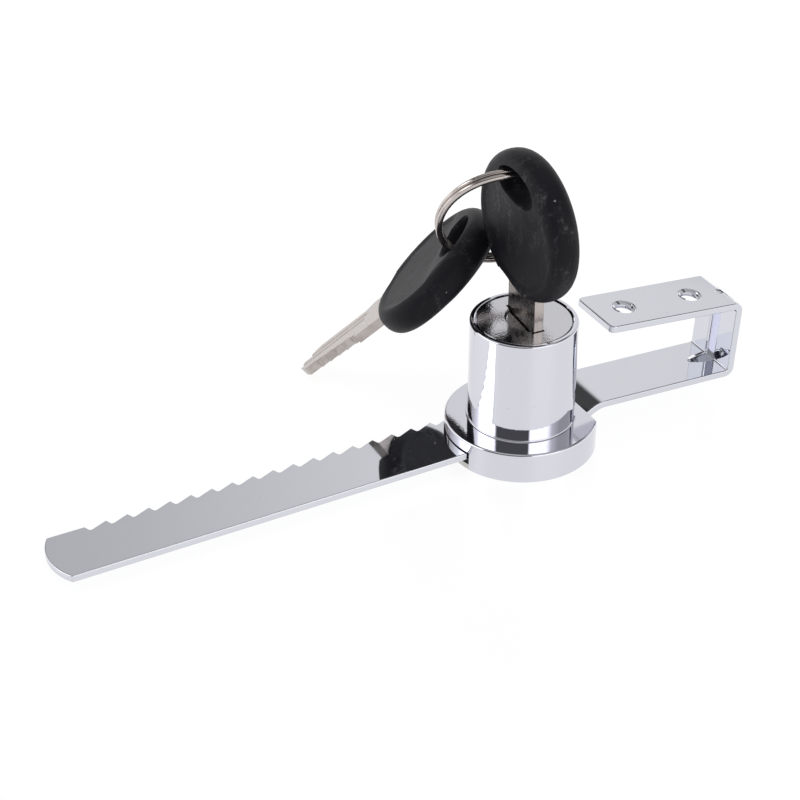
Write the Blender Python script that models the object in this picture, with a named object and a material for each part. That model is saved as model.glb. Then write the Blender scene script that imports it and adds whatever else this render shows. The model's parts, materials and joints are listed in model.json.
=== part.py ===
"""Ratchet lock for sliding glass doors: a toothed bar with a U hook, and a keyed lock that slides on it.

Axes: the origin is the centre of the lock's underside. +X runs along the bar towards the hook,
+Y points to the toothed edge, and +Z runs up the lock barrel. Sizes below are in millimetres.
The lock is shown at the hook end of the bar, with the key turned to the open position.
"""

import math

import bmesh
import bpy
from mathutils import Euler, Matrix, Vector

MM = 0.001

# ---- bar with U hook -------------------------------------------------------
BAR_THICK = 1.35
BAR_TOP = 3.40
BAR_NEAR = -3.75
BAR_FAR = 7.95
BAR_MID = (BAR_NEAR + BAR_FAR) / 2
BAR_END = -86.5
BAR_END_BULGE = 1.85
TOOTH_PITCH = 3.87
TOOTH_FIRST = -79.81
TOOTH_COUNT = 23
TOOTH_STEEP = 0.65
TOOTH_ROOT = 6.65
STRIP_JOIN = 9.6
HOOK_LINE = ((STRIP_JOIN, 2.725), (10.40, 2.725), (14.45, 4.83), (43.05, 3.18), (43.9, 17.22), (15.9, 20.09))
HOOK_BENDS = (1.2, 5.2, 1.4, 1.25)
HOOK_CORNER = 1.1
CLAMP_HOLES = (22.2, 36.5)
CLAMP_HOLE_R = 1.85
RIB_HALF = 1.55
RIB_RISE = 1.25
DART_LENGTH = 5.0
DART_HALF = 1.7

# ---- lock barrel -----------------------------------------------------------
FLANGE_R = 13.60
FLANGE_TOP = 5.77
FLANGE_FLAT = 10.30
BARREL_R = 9.50
BARREL_TOP = 25.18
RIM_BEVEL = 0.40
BORE_R = 6.45
BORE_FLOOR = 5.20
COUNTERBORE_R = 8.55
COUNTERBORE_FLOOR = 23.20
SLOT_NEAR = -4.15
SLOT_FAR = 8.35
SLOT_ROOF = 3.65
GROOVE_R = 7.30
GROOVE_HALF = 2.50
GROOVE_LOW = 9.60
GROOVE_HIGH = 21.60

# ---- base plate ------------------------------------------------------------
PLATE_R = 11.90
PLATE_THICK = 1.00
PLATE_RECESS_R = 12.20
PLATE_RECESS = 1.20
EAR_REACH = 13.35
RIVET_SPOTS = ((-6.5, -8.3), (6.5, -8.3))
RIVET_R = 0.90
RIVET_HEAD_R = 1.50
RIVET_TOP = 3.20

# ---- plug, wafers and keyway -----------------------------------------------
PLUG_YAW = math.radians(-94.4)
PLUG_THROW = math.radians(75)
PLUG_R = 6.20
PLUG_LOW = 5.45
PLUG_TOP = 23.20
CAP_R = 8.30
CAP_LOW = 23.45
CAP_TOP = 25.00
KEYWAY_AT = (-0.30, 0.30)
KEYWAY_WIDE = 8.20
KEYWAY_THICK = 2.25
KEYWAY_LOW = 6.15
CAP_SLOT_WIDE = 10.50
RELIEF_R = 3.50
RELIEF_DEEP = 0.50
TAIL_PIN_R = 0.70
TAIL_PIN_REACH = 1.28
TAIL_PIN_LOW = 3.95
CLIP_GROOVE_R = 5.30
CLIP_LEVEL = 7.80
CLIP_R = 0.60
CLIP_Y = 6.15
WAFER_COUNT = 5
WAFER_TOP = 20.60
WAFER_PITCH = 2.50
WAFER_THICK = 0.90
WAFER_SLOT = 1.20
WAFER_HALF = 2.20
WAFER_R = 6.05
WAFER_EAR = (1.40, 2.40)
WAFER_EAR_REACH = 3.60
SPRING_POCKET = (0.50, 4.60)
SPRING_POCKET_REACH = 3.75

# ---- pawl ------------------------------------------------------------------
PAWL_X = 1.60
PAWL_HALF = 2.00
ARM_HALF = 2.40
ARM_LOW = 3.80
ARM_TOP = 5.05
ARM_NEAR = -2.20
PAWL_BACK = 11.30
PAWL_LOW = 1.40
PAWL_TRAVEL = 2 * TAIL_PIN_REACH * math.sin(PLUG_THROW / 2)
PAWL_TOOTH = 21
PAWL_SPRING_R = 0.85
PAWL_SPRING_BORE = 1.25
PAWL_SPRING_Z = 3.20
PAWL_SPRING_END = 12.65

# ---- keys and ring ---------------------------------------------------------
KEY_1_AT = (0.35, 0.27, 30.25)
KEY_2_AT = (-12.91, 25.44, 17.88)
KEY_2_TURN = (math.radians(-43.70), math.radians(4.07), math.radians(-134.24))
HEAD_HALF = 14.35
HEAD_MID = 12.86
HEAD_LOW = 0.20
HEAD_TOP = 26.00
HEAD_THICK = 6.18
HEAD_ROUND = 3.07
HEAD_POWER_LOW = 2.03
HEAD_POWER_TOP = 2.00
PANEL_INSET = 3.40
PANEL_DEEP = 0.60
RING_HOLE_Z = 21.00
RING_HOLE_WIDE = 12.00
RING_HOLE_HIGH = 4.90
TANG_WIDE = 10.00
TANG_TOP = 8.50
SHOULDER = -6.85
BLADE_HALF = 3.85
BLADE_TIP = -24.00
BLADE_THICK = 1.75
CUT_FIRST = 0.50
CUT_STEP = 0.30
BLADE_GROOVES = ((-2.0, -1), (-0.2, -1), (-0.9, 1))
BLADE_GROOVE_WIDE = 0.90
BLADE_GROOVE_DEEP = 0.40
RING_CENTRE = (-0.26, 8.04, 41.33)
RING_NORMAL = (-0.299, -0.879, -0.371)
RING_R = 11.03
RING_WIRE = (0.60, 0.43)
RING_LAYER = 0.49
RING_JOG = math.radians(60)
RING_START = math.radians(150)
RING_PIVOT = (0.61, 3.52, 51.35)
KEY_2_PIVOT = (-5.30, 13.40, 32.90)

# Name: base colour, metallic value and roughness of each material.
FINISHES = {
    "chrome_bar": ((0.72, 0.73, 0.76), 1.0, 0.06),
    "chrome_body": ((0.74, 0.74, 0.79), 1.0, 0.05),
    "chrome_cap": ((0.62, 0.62, 0.65), 1.0, 0.12),
    "zinc_plate": ((0.45, 0.44, 0.42), 1.0, 0.35),
    "zinc_rivet": ((0.50, 0.49, 0.47), 1.0, 0.30),
    "brass_plug": ((0.72, 0.56, 0.28), 1.0, 0.30),
    "brass_wafer": ((0.78, 0.62, 0.32), 1.0, 0.25),
    "spring_wire": ((0.55, 0.55, 0.56), 1.0, 0.25),
    "hard_steel": ((0.42, 0.42, 0.44), 1.0, 0.30),
    "nickel_blade": ((0.66, 0.62, 0.58), 1.0, 0.25),
    "ring_nickel": ((0.60, 0.56, 0.53), 1.0, 0.15),
    "black_rubber": ((0.028, 0.028, 0.032), 0.0, 0.60),
}


# ---- scene and shape helpers -----------------------------------------------
def clear_scene():
    for old in list(bpy.data.objects):
        bpy.data.objects.remove(old, do_unlink=True)


def finish_material(name):
    colour, metallic, roughness = FINISHES[name]
    material = bpy.data.materials.new(name)
    material.use_nodes = True
    shader = material.node_tree.nodes["Principled BSDF"]
    shader.inputs["Base Color"].default_value = (*colour, 1.0)
    shader.inputs["Metallic"].default_value = metallic
    shader.inputs["Roughness"].default_value = roughness
    return material


def frame_empty(name, place=(0, 0, 0), turn=(0, 0, 0)):
    """An empty that stands on a joint's axis or in a sub-assembly's own frame."""
    empty = bpy.data.objects.new(name, None)
    empty.location = Vector(place) * MM
    empty.rotation_euler = turn
    bpy.context.collection.objects.link(empty)
    bpy.context.view_layer.update()
    return empty


def attach(child, parent, keep_world=False):
    child.parent = parent
    if keep_world:
        child.matrix_parent_inverse = parent.matrix_world.inverted()
    bpy.context.view_layer.update()


def solid(name, shape, finish=None, parent=None):
    """Makes an object from a mesh in millimetres; it is a cutter when it has no finish."""
    bmesh.ops.scale(shape, vec=(MM, MM, MM), verts=shape.verts)
    bmesh.ops.recalc_face_normals(shape, faces=shape.faces)
    mesh = bpy.data.meshes.new(name)
    shape.to_mesh(mesh)
    shape.free()
    item = bpy.data.objects.new(name, mesh)
    bpy.context.collection.objects.link(item)
    if finish:
        mesh.materials.append(finish_material(finish))
        item.data.materials[0].name = name + "_finish"
        mesh.shade_smooth()
        mesh.set_sharp_from_angle(angle=math.radians(30))
    else:
        item.hide_render = True
        item.display_type = "WIRE"
    if parent:
        attach(item, parent)
    return item


def combine(target, tool, operation="DIFFERENCE"):
    step = target.modifiers.new(operation.title() + " " + tool.name, "BOOLEAN")
    step.operation = operation
    step.object = tool
    step.solver = "EXACT"


def cut(target, name, shape):
    combine(target, solid(name, shape, parent=target.parent))


def prism(outline, low, high, axis="z"):
    """Extrudes an outline along one axis; it lies in XY for z, XZ for y and YZ for x."""
    orders = {"z": (0, 1, 2), "y": (0, 2, 1), "x": (2, 0, 1)}

    def place(a, b, c):
        return Vector([(a, b, c)[index] for index in orders[axis]])

    shape = bmesh.new()
    base = [shape.verts.new(place(a, b, low)) for a, b in outline]
    face = shape.faces.new(base)
    grown = bmesh.ops.extrude_face_region(shape, geom=[face])
    top = [item for item in grown["geom"] if isinstance(item, bmesh.types.BMVert)]
    bmesh.ops.translate(shape, verts=top, vec=place(0, 0, high - low))
    return shape


def box(low, high):
    (x0, y0, z0), (x1, y1, z1) = low, high
    return prism(((x0, y0), (x1, y0), (x1, y1), (x0, y1)), z0, z1)


def round_bar(centre, radius, low, high, axis="z", steps=32):
    return prism(arc(centre, radius, 0, math.tau, steps, closed=True), low, high, axis)


def arc(centre, radius, start, end, steps, closed=False):
    count = steps if closed else steps + 1
    angles = [start + (end - start) * i / steps for i in range(count)]
    return [(centre[0] + radius * math.cos(a), centre[1] + radius * math.sin(a)) for a in angles]


def turned(profile, steps):
    """Spins a profile of (radius, height) points about Z; its ends are on the axis."""
    shape = bmesh.new()
    points = [shape.verts.new((radius, 0, height)) for radius, height in profile]
    edges = [shape.edges.new(pair) for pair in zip(points, points[1:])]
    bmesh.ops.spin(shape, geom=points + edges, axis=(0, 0, 1), cent=(0, 0, 0), steps=steps, angle=math.tau)
    bmesh.ops.remove_doubles(shape, verts=shape.verts, dist=1e-4)
    return shape


def moved(shape, matrix):
    bmesh.ops.transform(shape, matrix=matrix, verts=shape.verts)
    return shape


def coil(radius, wire, height, start, sweep, steps_per_turn, sides):
    """A wire wound about Z: height(angle) is its level and wire its radial and axial half widths."""
    shape = bmesh.new()
    count = max(2, round(sweep / math.tau * steps_per_turn))
    rings = []
    for step in range(count + 1):
        travelled = sweep * step / count
        angle = start + travelled
        ring = []
        for side in range(sides):
            turn = math.tau * (side + 0.5) / sides
            reach = radius + wire[0] * math.cos(turn)
            level = height(travelled) + wire[1] * math.sin(turn)
            ring.append(shape.verts.new((reach * math.cos(angle), reach * math.sin(angle), level)))
        rings.append(ring)
    for first, second in zip(rings, rings[1:]):
        for side in range(sides):
            other = (side + 1) % sides
            shape.faces.new((first[side], first[other], second[other], second[side]))
    shape.faces.new(rings[0])
    shape.faces.new(list(reversed(rings[-1])))
    return shape


# ---- bar -------------------------------------------------------------------
def bent_path(points, radii, steps):
    """The polyline with each inner corner replaced by an arc of the given radius."""
    path = [Vector(points[0])]
    for before, corner, after, radius in zip(points, points[1:], points[2:], radii):
        corner = Vector(corner)
        come = (corner - Vector(before)).normalized()
        leave = (Vector(after) - corner).normalized()
        bend = come.angle(leave)
        reach = radius * math.tan(bend / 2)
        side = 1 if come.x * leave.y - come.y * leave.x > 0 else -1
        centre = corner - come * reach + Vector((-come.y, come.x)) * radius * side
        spoke = (corner - come * reach) - centre
        for step in range(steps + 1):
            path.append(centre + Matrix.Rotation(side * bend * step / steps, 2) @ spoke)
    path.append(Vector(points[-1]))
    return path


def strip_outline(path, thick):
    """Both sides of a strip of metal that follows the path."""
    left, right = [], []
    for index, point in enumerate(path):
        before = path[max(index - 1, 0)]
        after = path[min(index + 1, len(path) - 1)]
        come = (point - before) if index else (after - point)
        leave = (after - point) if index < len(path) - 1 else come
        normal = (come.normalized() + leave.normalized()).normalized()
        normal = Vector((-normal.y, normal.x))
        spread = thick / 2 / max(0.5, math.cos(come.angle(leave) / 2))
        left.append(tuple(point + normal * spread))
        right.append(tuple(point - normal * spread))
    return left + right[::-1]


def toothed_outline():
    """The flat strip seen from above: curved free end, saw teeth on the far edge, plain near edge."""
    half = (BAR_FAR - BAR_NEAR) / 2
    middle = BAR_NEAR + half
    radius = (half ** 2 + BAR_END_BULGE ** 2) / (2 * BAR_END_BULGE)
    spread = math.asin(half / radius)
    centre = (BAR_END - BAR_END_BULGE + radius, middle)
    outline = [(STRIP_JOIN, BAR_NEAR), (STRIP_JOIN, BAR_FAR)]
    for tooth in reversed(range(TOOTH_COUNT)):
        tip = TOOTH_FIRST + TOOTH_PITCH * tooth
        outline.append((tip + TOOTH_PITCH * 0.97, BAR_FAR))
        outline.append((tip + TOOTH_STEEP, TOOTH_ROOT))
        outline.append((tip, BAR_FAR))
    outline += arc(centre, radius, math.pi - spread, math.pi + spread, 12)
    return outline


def hook_shape():
    """The joggled strip and U hook, with the corners of the hook's free end rounded."""
    path = bent_path(HOOK_LINE, HOOK_BENDS, 5)
    shape = prism(strip_outline(path, BAR_THICK), BAR_NEAR, BAR_FAR, "y")
    end_x = HOOK_LINE[-1][0]
    end_z = HOOK_LINE[-1][1]

    def at_end(vert):
        return abs(vert.co.x - end_x) < 0.4 and abs(vert.co.z - end_z) < BAR_THICK

    def along_thickness(edge):
        return abs(edge.verts[0].co.y - edge.verts[1].co.y) < 0.01

    tip_edges = [edge for edge in shape.edges if all(at_end(vert) for vert in edge.verts)]
    corners = [edge for edge in tip_edges if along_thickness(edge)]
    bmesh.ops.bevel(shape, geom=corners, offset=HOOK_CORNER, segments=4, affect="EDGES", profile=0.5)
    return shape


def bar_blank():
    """The toothed strip and the hook, welded into one body where their ends meet."""
    blank = prism(toothed_outline(), BAR_TOP - BAR_THICK, BAR_TOP)
    hook = hook_shape()
    piece = bpy.data.meshes.new("hook_blank")
    hook.to_mesh(piece)
    hook.free()
    blank.from_mesh(piece)
    bpy.data.meshes.remove(piece)
    joint = [face for face in blank.faces if all(abs(vert.co.x - STRIP_JOIN) < 1e-4 for vert in face.verts)]
    bmesh.ops.delete(blank, geom=joint, context="FACES_ONLY")
    bmesh.ops.remove_doubles(blank, verts=blank.verts, dist=1e-3)
    return blank


def leg_frame():
    """Matrix whose Z runs up the middle of the hook's leg and whose X points out of the hook."""
    low, high = Vector(HOOK_LINE[3]), Vector(HOOK_LINE[4])
    lean = math.atan2(high.x - low.x, high.y - low.y)
    return Matrix.Translation((low.x, BAR_MID, low.y)) @ Matrix.Rotation(lean, 4, "Y")


def leg_length():
    return (Vector(HOOK_LINE[4]) - Vector(HOOK_LINE[3])).length


def rib_outline(inner_x, depth=RIB_HALF):
    """A V whose ridge stands at inner_x on the hook's inner side."""
    return ((inner_x, 0), (inner_x + depth, RIB_HALF), (inner_x + depth, -RIB_HALF))


def make_bar(parent):
    bar = solid("ratchet_bar", bar_blank(), "chrome_bar", parent)
    frame = leg_frame()
    ridge = -BAR_THICK / 2 - RIB_RISE
    rib = moved(prism(rib_outline(ridge), 0.2, leg_length() - 0.2), frame)
    combine(bar, solid("leg_rib", rib, parent=parent), "UNION")
    combine(bar, solid("corner_dart", corner_dart(), parent=parent), "UNION")
    groove = prism(rib_outline(ridge + BAR_THICK + 0.05, RIB_HALF + 1.0), 1.2, leg_length() + 2.0)
    cut(bar, "leg_groove_cutter", moved(groove, frame))
    for number, hole_x in enumerate(CLAMP_HOLES, 1):
        cut(bar, f"clamp_hole_cutter_{number}", round_bar((hole_x, BAR_MID), CLAMP_HOLE_R, 16.0, 22.0))
    return bar


def corner_dart():
    """The dart pressed into the lower bend: a tapering ridge from the leg down to the lower strip."""
    low = HOOK_LINE[3]
    shape = bmesh.new()
    foot = (low[0] - DART_LENGTH, BAR_MID, low[1] + 0.45)
    head = (low[0] - 0.4, BAR_MID, low[1] + DART_LENGTH + 0.6)
    root = [(low[0] - 0.3, BAR_MID + side * DART_HALF, low[1] + 0.3) for side in (-1, 1)]
    waist = (low[0] - 2.35, BAR_MID, low[1] + 2.75)
    points = [shape.verts.new(point) for point in (foot, head, *root, waist)]
    bmesh.ops.convex_hull(shape, input=points)
    return shape


# ---- lock body -------------------------------------------------------------
def make_housing(parent):
    chamfer = 0.30
    profile = ((0, BARREL_TOP), (BARREL_R - RIM_BEVEL, BARREL_TOP), (BARREL_R, BARREL_TOP - RIM_BEVEL),
               (BARREL_R, FLANGE_TOP), (FLANGE_R - chamfer, FLANGE_TOP), (FLANGE_R, FLANGE_TOP - chamfer),
               (FLANGE_R, 0), (0, 0))
    housing = solid("lock_housing", turned(profile, 72), "chrome_body", parent)
    cut(housing, "counterbore_cutter", round_bar((0, 0), COUNTERBORE_R, COUNTERBORE_FLOOR, 26, steps=64))
    for number, turn in enumerate((PLUG_YAW, PLUG_YAW - PLUG_THROW), 1):
        groove = box((-GROOVE_R, -GROOVE_HALF, GROOVE_LOW), (-5.0, GROOVE_HALF, GROOVE_HIGH))
        cut(housing, f"wafer_groove_cutter_{number}", moved(groove, Matrix.Rotation(turn, 4, "Z")))
    cut(housing, "plug_bore_cutter", round_bar((0, 0), BORE_R, BORE_FLOOR, 24, steps=50))
    cut(housing, "bar_slot_cutter", box((-15, SLOT_NEAR, -1), (15, SLOT_FAR, SLOT_ROOF)))
    cut(housing, "flange_flat_cutter", box((FLANGE_FLAT, -15, -1), (15, 15, FLANGE_TOP + 1)))
    cut(housing, "plate_recess_cutter", round_bar((0, 0), PLATE_RECESS_R, -1.5, PLATE_RECESS, steps=64))
    arm_low = (PAWL_X - ARM_HALF - 0.3, ARM_NEAR - PAWL_TRAVEL - 0.35, SLOT_ROOF - 0.2)
    arm_high = (PAWL_X + ARM_HALF + 0.3, PAWL_BACK + 0.3, BORE_FLOOR + 0.1)
    cut(housing, "pawl_arm_cutter", box(arm_low, arm_high))
    nose_low = (PAWL_X - PAWL_HALF - 0.3, SLOT_FAR - 0.5, PLATE_RECESS - 0.1)
    nose_high = (PAWL_X + PAWL_HALF + 0.3, PAWL_BACK + 0.29, SLOT_ROOF + 0.5)
    cut(housing, "pawl_nose_cutter", box(nose_low, nose_high))
    spring_seat = round_bar((PAWL_X, PAWL_SPRING_Z), PAWL_SPRING_BORE, 10.5, PAWL_SPRING_END, "y", 20)
    cut(housing, "pawl_spring_cutter", spring_seat)
    for number, spot in enumerate(RIVET_SPOTS, 1):
        hole = round_bar(spot, RIVET_R + 0.2, 0.5, RIVET_TOP + 0.3, steps=20)
        cut(housing, f"rivet_hole_cutter_{number}", hole)
    clip_hole = round_bar((CLIP_Y, CLIP_LEVEL), CLIP_R + 0.15, -4.6, 9.0, "x", 16)
    cut(housing, "clip_hole_cutter", clip_hole)
    return housing


def make_base_plate(parent):
    plate = solid("base_plate", round_bar((0, 0), PLATE_R, 0, PLATE_THICK, steps=64), "zinc_plate", parent)
    near, far = SLOT_NEAR + 0.25, SLOT_FAR - 0.25
    rim = [(x, y) for x, y in arc((0, 0), EAR_REACH, -0.30, 0.65, 24) if near < y < far]
    edge_near = (math.sqrt(EAR_REACH ** 2 - near ** 2), near)
    edge_far = (math.sqrt(EAR_REACH ** 2 - far ** 2), far)
    right = [edge_near, *rim, edge_far]
    left = [(-x, y) for x, y in reversed(right)]
    ears = solid("plate_ears", prism(right + left, 0, PLATE_THICK), parent=parent)
    combine(plate, ears, "UNION")
    cut(plate, "plate_flat_cutter", box((FLANGE_FLAT, -15, -1), (15, 15, 2)))
    for number, spot in enumerate(RIVET_SPOTS, 1):
        cut(plate, f"plate_hole_cutter_{number}", round_bar(spot, RIVET_R + 0.2, -0.5, 1.5, steps=20))
        cut(plate, f"plate_sink_cutter_{number}", round_bar(spot, RIVET_HEAD_R + 0.25, -0.5, 0.65, steps=20))


def make_rivets(parent):
    profile = ((0, RIVET_TOP), (RIVET_R, RIVET_TOP), (RIVET_R, 0.45), (RIVET_HEAD_R, 0.45),
               (RIVET_HEAD_R, 0.20), (RIVET_HEAD_R - 0.15, 0.05), (0, 0.05))
    for number, (x, y) in enumerate(RIVET_SPOTS, 1):
        shape = moved(turned(profile, 20), Matrix.Translation((x, y, 0)))
        solid(f"base_rivet_{number}", shape, "zinc_rivet", parent)


def make_plug_clip(parent):
    pin = round_bar((CLIP_Y, CLIP_LEVEL), CLIP_R, -4.2, 7.0, "x", 16)
    solid("plug_retaining_pin", pin, "hard_steel", parent)


# ---- pawl ------------------------------------------------------------------
def make_pawl(parent):
    """The pawl lies over the bar, with a nose that drops beside the toothed edge."""
    arm = box((PAWL_X - ARM_HALF, ARM_NEAR, ARM_LOW), (PAWL_X + ARM_HALF, PAWL_BACK, ARM_TOP))
    pawl = solid("pawl", arm, "hard_steel", parent)
    root_x = TOOTH_FIRST + TOOTH_PITCH * PAWL_TOOTH + TOOTH_STEEP
    ramp = (BAR_FAR - TOOTH_ROOT) / (TOOTH_PITCH - TOOTH_STEEP)
    tip = (root_x + 0.24, TOOTH_ROOT + 0.30 + PAWL_TRAVEL)
    shoulder = BAR_FAR + 0.55 + PAWL_TRAVEL
    left, right = PAWL_X - PAWL_HALF, PAWL_X + PAWL_HALF
    steep = (shoulder - tip[1]) * TOOTH_STEEP / (BAR_FAR - TOOTH_ROOT)
    back = PAWL_BACK - 0.01
    nose = (tip, (right, tip[1] + (right - tip[0]) * ramp), (right, back), (left, back),
            (left, shoulder + 0.05), (tip[0] - steep, shoulder))
    combine(pawl, solid("pawl_nose", prism(nose, PAWL_LOW, ARM_LOW + 0.4), parent=parent), "UNION")
    middle = PAWL_TRAVEL / 2
    half = TAIL_PIN_R + 0.25
    ends = (TAIL_PIN_REACH * math.cos(PLUG_THROW / 2) - half - 0.05, TAIL_PIN_REACH + half + 0.05)
    slot = box((ends[0], middle - half, ARM_LOW - 0.5), (ends[1], middle + half, ARM_TOP + 0.5))
    cut(pawl, "pawl_slot_cutter", slot)
    bore = round_bar((PAWL_X, PAWL_SPRING_Z), PAWL_SPRING_BORE, PAWL_BACK - 1.9, PAWL_BACK + 1, "y", 20)
    cut(pawl, "pawl_bore_cutter", bore)


def make_pawl_spring(parent):
    start = PAWL_BACK - 1.75
    length = PAWL_SPRING_END - 0.1 - start
    turns = 5.0
    wire = 0.18

    def climb(travelled):
        return wire + (length - 2 * wire) * travelled / (math.tau * turns)

    shape = coil(PAWL_SPRING_R, (wire, wire), climb, 0, math.tau * turns, 10, 5)
    along_y = Matrix.Translation((PAWL_X, start, PAWL_SPRING_Z)) @ Matrix.Rotation(-math.pi / 2, 4, "X")
    solid("pawl_spring", moved(shape, along_y), "spring_wire", parent)


# ---- plug ------------------------------------------------------------------
def wafer_levels():
    return [WAFER_TOP - WAFER_PITCH * number for number in range(WAFER_COUNT)]


def keyway_box(wide, thick, low, high):
    x, y = KEYWAY_AT
    return box((x - wide / 2, y - thick / 2, low), (x + wide / 2, y + thick / 2, high))


def make_plug(parent):
    plug = solid("plug", round_bar((0, 0), PLUG_R, PLUG_LOW, PLUG_TOP, steps=48), "brass_plug", parent)
    angle = PLUG_THROW / 2 - PLUG_YAW
    pin_at = (TAIL_PIN_REACH * math.cos(angle), TAIL_PIN_REACH * math.sin(angle))
    tail_pin = round_bar(pin_at, TAIL_PIN_R, TAIL_PIN_LOW, PLUG_LOW + 0.3, steps=16)
    combine(plug, solid("tail_pin", tail_pin, parent=parent), "UNION")
    cut(plug, "keyway_cutter", keyway_box(KEYWAY_WIDE, KEYWAY_THICK, KEYWAY_LOW, PLUG_TOP + 1))
    low, high = CLIP_LEVEL - CLIP_R - 0.2, CLIP_LEVEL + CLIP_R + 0.2
    band = round_bar((0, 0), PLUG_R + 1, low, high, steps=48)
    groove_cutter = solid("clip_groove_cutter", band, parent=parent)
    core = round_bar((0, 0), CLIP_GROOVE_R, low - 1, high + 1, steps=48)
    combine(groove_cutter, solid("clip_groove_core", core, parent=parent))
    combine(plug, groove_cutter)
    for number, level in enumerate(wafer_levels(), 1):
        half = WAFER_SLOT / 2
        slot = box((-7, -WAFER_HALF - 0.2, level - half), (7, WAFER_HALF + 0.2, level + half))
        cut(plug, f"wafer_slot_cutter_{number}", slot)
        pocket_low = (SPRING_POCKET[0], WAFER_HALF, level - half)
        pocket_high = (SPRING_POCKET[1], SPRING_POCKET_REACH, level + half)
        cut(plug, f"spring_pocket_cutter_{number}", box(pocket_low, pocket_high))


def make_plug_cap(parent):
    edge = 0.15
    profile = ((0, CAP_TOP), (CAP_R - edge, CAP_TOP), (CAP_R, CAP_TOP - edge), (CAP_R, CAP_LOW), (0, CAP_LOW))
    cap = solid("plug_cap", turned(profile, 64), "chrome_cap", parent)
    cut(cap, "cap_slot_cutter", keyway_box(CAP_SLOT_WIDE, KEYWAY_THICK + 0.05, CAP_LOW - 1, CAP_TOP + 1))
    relief = round_bar(KEYWAY_AT, RELIEF_R, CAP_TOP - RELIEF_DEEP, CAP_TOP + 1, steps=40)
    cut(cap, "cap_relief_cutter", relief)


def make_wafer(number, level, parent):
    """A flat plate with round ends, a window for the blade and an ear for its spring."""
    reach = math.asin(WAFER_HALF / WAFER_R)
    ear_low, ear_high = WAFER_EAR
    right = arc((0, 0), WAFER_R, -reach, reach, 6)
    left = arc((0, 0), WAFER_R, math.pi - reach, math.pi + reach, 6)
    tip = WAFER_EAR_REACH
    ear = [(ear_high, WAFER_HALF), (ear_high, tip), (ear_low, tip), (ear_low, WAFER_HALF)]
    half = WAFER_THICK / 2
    plate = prism(right + ear + left, level - half, level + half)
    wafer = solid(f"wafer_{number}", plate, "brass_wafer", parent)
    x, y = KEYWAY_AT
    bite = CUT_FIRST + CUT_STEP * (number - 1)
    window_low = (x - BLADE_HALF - 0.3, y - BLADE_THICK / 2 - 0.3, level - 1)
    window_high = (x + BLADE_HALF - bite + 0.22, y + BLADE_THICK / 2 + 0.3, level + 1)
    cut(wafer, f"wafer_window_cutter_{number}", box(window_low, window_high))


def make_wafer_spring(number, level, parent):
    start = WAFER_EAR[1] + 0.10
    length = SPRING_POCKET[1] - 0.10 - start
    turns = 4.0
    wire = 0.09

    def climb(travelled):
        return wire + (length - 2 * wire) * travelled / (math.tau * turns)

    shape = coil(0.34, (wire, wire), climb, 0, math.tau * turns, 8, 4)
    along_x = Matrix.Translation((start, 3.05, level)) @ Matrix.Rotation(math.pi / 2, 4, "Y")
    solid(f"wafer_spring_{number}", moved(shape, along_x), "spring_wire", parent)


# ---- keys ------------------------------------------------------------------
def head_outline(inset, steps=56):
    """An egg of two powered half ovals, drawn in from the full outline by the inset."""
    outline = []
    for step in range(steps):
        angle = math.tau * step / steps
        c, s = math.cos(angle), math.sin(angle)
        power = HEAD_POWER_TOP if s > 0 else HEAD_POWER_LOW
        height = HEAD_TOP - HEAD_MID if s > 0 else HEAD_MID - HEAD_LOW
        x = (HEAD_HALF - inset) * math.copysign(abs(c) ** (2 / power), c)
        z = HEAD_MID + (height - inset) * math.copysign(abs(s) ** (2 / power), s)
        outline.append((x, z))
    return outline


def head_shape():
    shape = bmesh.new()
    rings = []
    for layer in range(-4, 5):
        share = math.sin(math.pi / 2 * layer / 4)
        inset = HEAD_ROUND * (1 - math.sqrt(1 - share ** 2))
        level = share * HEAD_THICK / 2
        rings.append([shape.verts.new((x, level, z)) for x, z in head_outline(inset)])
    count = len(rings[0])
    for first, second in zip(rings, rings[1:]):
        for index in range(count):
            other = (index + 1) % count
            shape.faces.new((first[index], first[other], second[other], second[index]))
    shape.faces.new(rings[0])
    shape.faces.new(rings[-1])
    return shape


def slot_outline():
    """The long hole for the ring, with round ends."""
    radius = RING_HOLE_HIGH / 2
    reach = RING_HOLE_WIDE / 2 - radius
    right = arc((reach, RING_HOLE_Z), radius, -math.pi / 2, math.pi / 2, 8)
    left = arc((-reach, RING_HOLE_Z), radius, math.pi / 2, 3 * math.pi / 2, 8)
    return right + left


def make_key_head(name, parent):
    head = solid(name, head_shape(), "black_rubber", parent)
    panel = [(x, min(z, RING_HOLE_Z)) for x, z in head_outline(PANEL_INSET, 36)]
    depth = HEAD_THICK / 2 - PANEL_DEEP
    cut(head, name + "_panel_cutter_1", prism(panel, depth, HEAD_THICK, "y"))
    cut(head, name + "_panel_cutter_2", prism(panel, -HEAD_THICK, -depth, "y"))
    cut(head, name + "_hole_cutter", prism(slot_outline(), -HEAD_THICK, HEAD_THICK, "y"))
    half_wide, half_thick = TANG_WIDE / 2 + 0.25, BLADE_THICK / 2 + 0.25
    pocket = box((-half_wide, -half_thick, HEAD_LOW - 1), (half_wide, half_thick, TANG_TOP + 0.25))
    cut(head, name + "_tang_cutter", pocket)


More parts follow.
